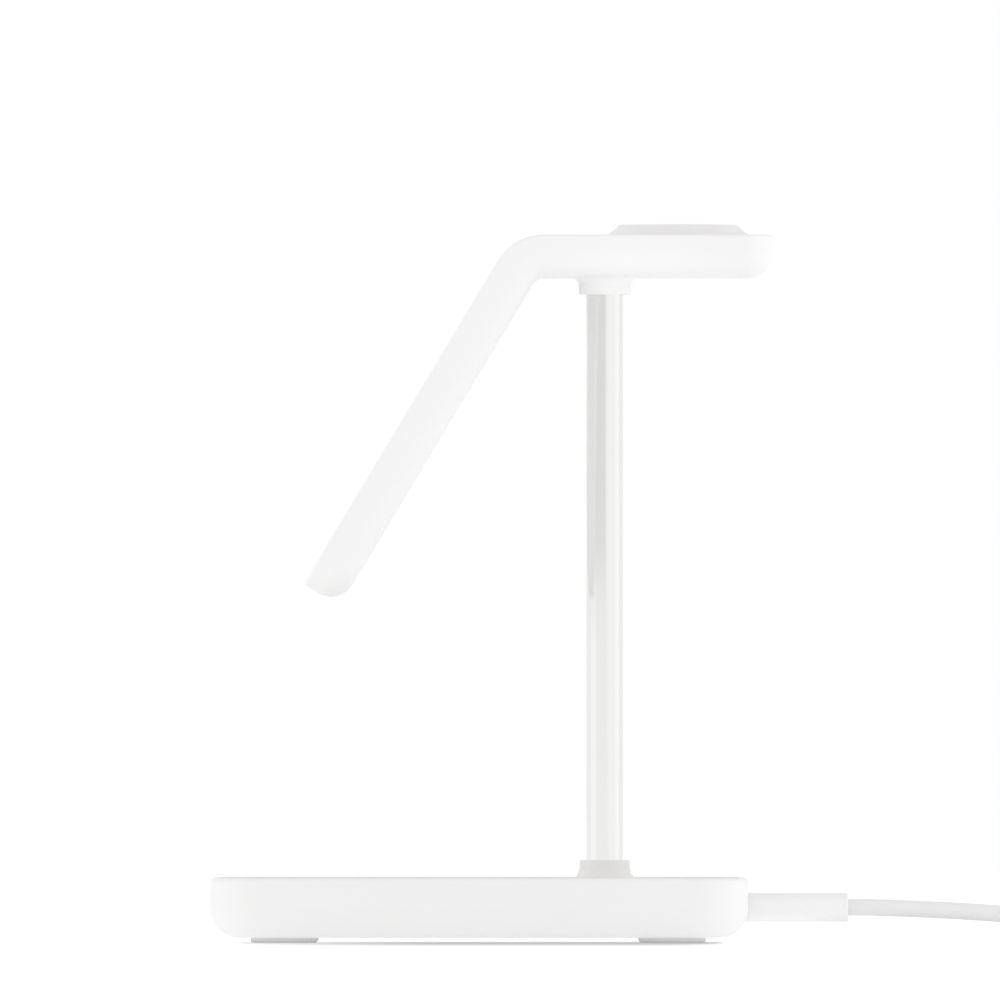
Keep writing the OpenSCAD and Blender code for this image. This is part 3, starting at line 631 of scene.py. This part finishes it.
def white_table():
    """The table's glowing white, with a painted shadow in front of the base and one round the coil.

    The painted shadow runs forward from the base's flat underside, weaker to its front end and
    softer the further it goes, and another painted one lies round the coil. The light that the
    table's glow lends the charger from below is painted light, stronger beside its two ends and
    weaker under the base and the lead as painted shade."""
    made = Finish("white_table", Base_Color=(TABLE_TONE, TABLE_TONE, TABLE_TONE), Roughness=0.9,
                  Specular_IOR_Level=0.1, Emission_Strength=1.0)
    x = made.node("SeparateXYZ", {}, {"Vector": made.place}, 0)
    y = made.node("SeparateXYZ", {}, {"Vector": made.place}, 1)

    def falling(amount, inner, outer):
        return made.node("MapRange", {"interpolation_type": "SMOOTHSTEP"},
                         {"Value": amount, "From Min": inner, "From Max": outer,
                          "To Min": 1.0, "To Max": 0.0})

    def size(amount):
        return made.node("Math", {"operation": "ABSOLUTE"}, {0: amount})

    # Painted shadows: the glow the camera sees is darkened in front of the base and round the coil.
    forward = made.node("Math", {"operation": "MAXIMUM"}, {0: -1 * y - 0.045, 1: 0.0})
    across = falling(size(x - BASE_MIDDLE), BASE_FLAT - 0.2 * forward,
                     BASE_FLAT + 0.004 + 0.1 * forward)
    across = across * (1 - SHADE_LESS_IN_FRONT * falling(x, -0.060, -0.012))
    painted_shadow = across * falling(y, -0.05, 0.05) * falling(-1 * y, 0.05, 0.24) * SHADE
    from_coil = made.node("VectorMath", {"operation": "DISTANCE"},
                          {0: made.place, 1: (*COIL_CENTRE, 0.0)}, "Value")
    pictured = falling(x, 0.12, 0.135)
    painted_shadow += falling(from_coil, 0.02, 0.065) * COIL_SHADE * (1 - pictured)
    bright = made.between(falling(y, 0.04, 0.07) * pictured, TABLE_SEEN_FAR, TABLE_SEEN)

    # Painted light and shade: the glow lent to the charger is brighter beside its ends and darker
    # under the base and lead.
    under = falling(size(x - BASE_MIDDLE), 0.048, 0.060) * falling(size(y), 0.028, 0.046)
    near_lead = falling(size(x - LEAD_MIDDLE), 0.03, 0.065) * falling(size(y), 0.004, 0.03)
    under = under * UNDER_BASE + near_lead * UNDER_LEAD
    lent = LENT + LENT_RIGHT * falling(size(x - BESIDE), 0.07, 0.11)
    lent += LENT_LEFT * falling(size(x + BESIDE), 0.07, 0.11)

    seen = made.node("LightPath", {}, {}, "Is Camera Ray")
    lending = made.node("LightPath", {}, {}, "Is Diffuse Ray")
    mirrored = 1 - TABLE_LIT
    glow = made.between(lending, mirrored, lent * (1 - under) - TABLE_LIT)
    made.set("Emission Color", made.between(seen, glow, bright * (1 - painted_shadow)))
    return made.material


ends = [-TABLE_REACH, TABLE_REACH]
table_points = np.stack(np.meshgrid(ends, ends, [0.0], indexing="ij"), -1)[:, ::-1, 0]
table = surface("table", table_points, closed=False, ends=False)
table.data.materials.append(white_table())


# --- Room -----------------------------------------------------------------------------
# An even white room, plain white to the camera and in mirrors. Its light on the charger
# is EVEN + SIDES * sideways^2 - OVERHEAD * upward, with the parts of its direction, so
# that it is a little brighter from both ends and darker from above.
ROOM_EVEN, ROOM_SIDES, ROOM_OVERHEAD = 1.08, 0.1, 0.42

room = bpy.data.worlds.new("room")
bpy.context.scene.world = room
room.use_nodes = True
walls = Network(room.node_tree)
rays = {name: walls.node("LightPath", {}, {}, name) for name in
        ("Is Camera Ray", "Is Glossy Ray", "Is Transmission Ray")}
shown = walls.node("Math", {"operation": "MAXIMUM"},
                   {0: rays["Is Camera Ray"], 1: rays["Is Glossy Ray"]})
shown = walls.node("Math", {"operation": "MAXIMUM"}, {0: shown, 1: rays["Is Transmission Ray"]})
towards = walls.node("TexCoord", {}, {}, "Generated")
sideways = walls.node("SeparateXYZ", {}, {"Vector": towards}, 0)
upward = walls.node("Math", {"operation": "MAXIMUM"},
                    {0: walls.node("SeparateXYZ", {}, {"Vector": towards}, 2), 1: 0.0})
lit = ROOM_EVEN + ROOM_SIDES * (sideways * sideways) - ROOM_OVERHEAD * upward
walls.join(room.node_tree.nodes["Background"].inputs["Strength"], shown + (1 - shown) * lit)
room.node_tree.nodes["Background"].inputs["Color"].default_value = (1, 1, 1, 1)


# --- Lamps ----------------------------------------------------------------------------
# Soft upright lamps light the charger's two ends, and a small spot lights the boss under
# the arm. Three strips only mirror in the polished post, as its upright bands.
BOSS = (0.029, 0.0, 0.1565)
BOSS_LIGHT_PLACE = (0.13, -0.38, 0.02)


def facing(place, target):
    """The rotation of a lamp at that place that shines on the target."""
    return (Vector(target) - Vector(place)).to_track_quat("-Z", "Y").to_euler()


def soft_lamp(name, bearing, away, width, radiance, mirrored, low=-0.3, high=1.2):
    """A soft upright lamp that faces the charger and isn't in the picture itself.

    bearing is in degrees from the camera's side, to the right. The charger is either lit by
    the lamp or mirrors it."""
    height, middle = high - low, (low + high) / 2
    lamp = bpy.data.objects.new(name, bpy.data.lights.new(name, "AREA"))
    lamp.data.shape = "RECTANGLE"
    lamp.data.size, lamp.data.size_y = width, height
    lamp.data.energy = radiance * math.pi * width * height
    turn = math.radians(bearing)
    lamp.location = (away * math.sin(turn), -away * math.cos(turn), middle)
    lamp.rotation_euler = facing(lamp.location, (0, 0, middle))
    lamp.visible_camera = False
    lamp.visible_diffuse, lamp.visible_glossy = not mirrored, mirrored
    bpy.context.scene.collection.objects.link(lamp)


soft_lamp("light_left", -88, 1.25, 1.6, 0.38, False)
soft_lamp("light_right", 88, 1.25, 1.6, 0.46, False)
boss_light = bpy.data.objects.new("boss_light", bpy.data.lights.new("boss_light", "SPOT"))
boss_light.data.energy = 1.3
boss_light.data.spot_size, boss_light.data.spot_blend = math.radians(5.0), 1.0
boss_light.data.shadow_soft_size = 0.02
boss_light.location = BOSS_LIGHT_PLACE
boss_light.rotation_euler = facing(boss_light.location, BOSS)
boss_light.visible_camera = boss_light.visible_glossy = False
bpy.context.scene.collection.objects.link(boss_light)
soft_lamp("strip_left", -76, 0.6, 0.48, 0.075, True, low=0.0, high=0.085)
soft_lamp("strip_right", 62, 1.5, 2.8, 0.06, True)
soft_lamp("strip_right_bright", 86, 1.4, 0.8, 0.06, True)


# --- Card -----------------------------------------------------------------------------
# A glowing grey card that only the post mirrors, a painted reflection that makes the darker
# band of its upper half. It bends round the post's front side from the camera to the rear,
# and its lower edge is where the bands change.
CARD_AWAY, CARD_LOW, CARD_HIGH = 0.6, 0.0905, 0.8
CARD_FROM, CARD_TO = 5.0, -140.0
CARD_BRIGHT = 0.84


def glowing_card():
    """A grey card that glows evenly, seen only as a painted reflection in the post."""
    made = Finish("glowing_card")
    glow = made.node("Emission", {}, {"Color": (1, 1, 1), "Strength": CARD_BRIGHT})
    made.join(made.tree.nodes["Material Output"].inputs["Surface"], glow)
    return made.material


def card_round(radius, low, high, first, last):
    """An upright curved card: post + radius (sin a, -cos a), from angle first to last."""
    a = np.radians(np.linspace(first, last, 24))
    z = np.array([low, high])
    return np.stack([POST_PLACE[0] + radius * np.sin(a)[:, None] + 0 * z,
                     POST_PLACE[1] - radius * np.cos(a)[:, None] + 0 * z,
                     z + 0 * a[:, None]], -1)


card_points = card_round(CARD_AWAY, CARD_LOW, CARD_HIGH, CARD_FROM, CARD_TO)
card = surface("card", card_points, closed=False, ends=False)
card.data.materials.append(glowing_card())
card.visible_camera = card.visible_diffuse = card.visible_shadow = False
